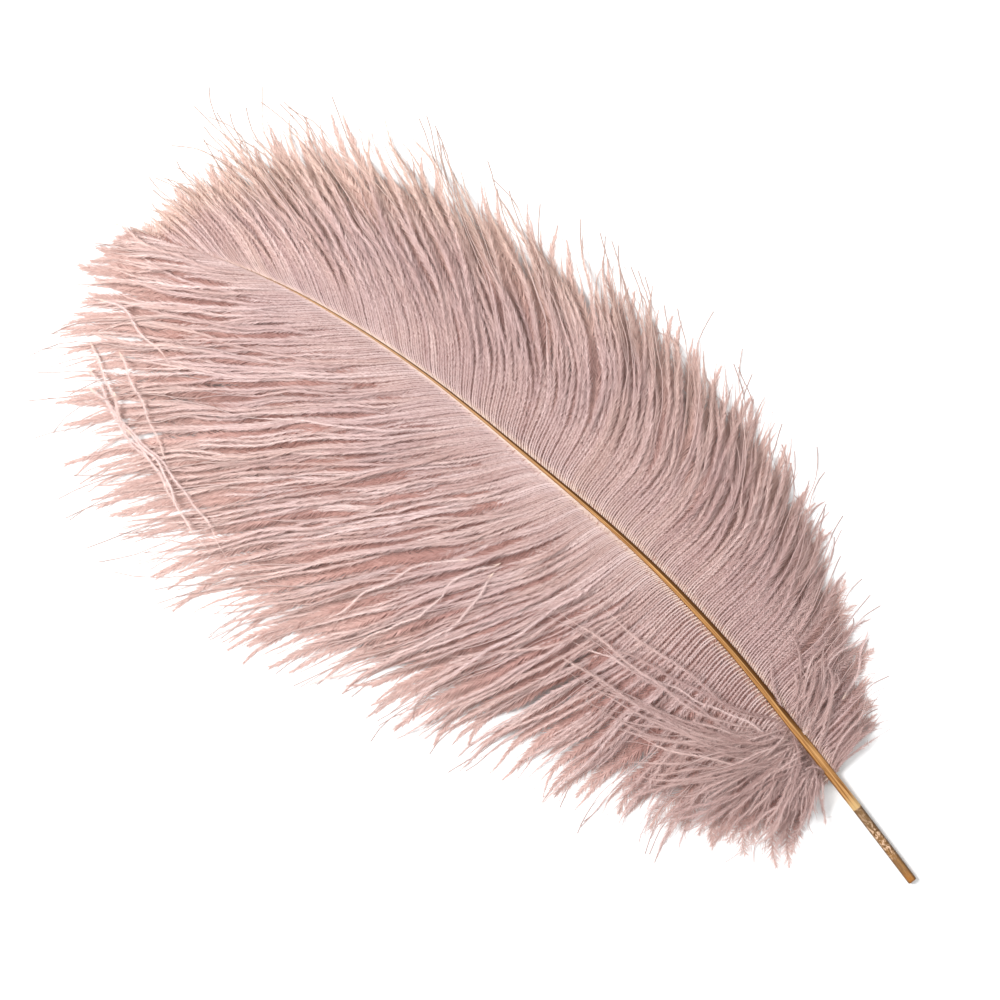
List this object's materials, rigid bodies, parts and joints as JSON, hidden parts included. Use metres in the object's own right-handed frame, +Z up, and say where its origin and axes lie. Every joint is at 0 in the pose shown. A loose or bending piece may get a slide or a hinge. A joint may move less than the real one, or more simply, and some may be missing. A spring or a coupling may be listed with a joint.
{
  "type": "ostrich feather",
  "caption": "Dyed ostrich plume lying flat: a tapering grooved shaft with a cut quill end, and two soft vanes of long loose barbs gathered in locks.",
  "frame": {"origin": "middle of the feather's footprint, on the surface that it lies on", "axes": "+X from the cut quill end to the tip, +Y towards the left vane, +Z up from the surface"},
  "size_m": [0.3654, 0.1854, 0.0172],
  "materials": {
    "shaft": "satin",
    "barbs": "matte"
  },
  "bodies": {
    "root": {"shaft": "shaft", "left_vane": "barbs", "right_vane": "barbs"}
  },
  "joints": []
}
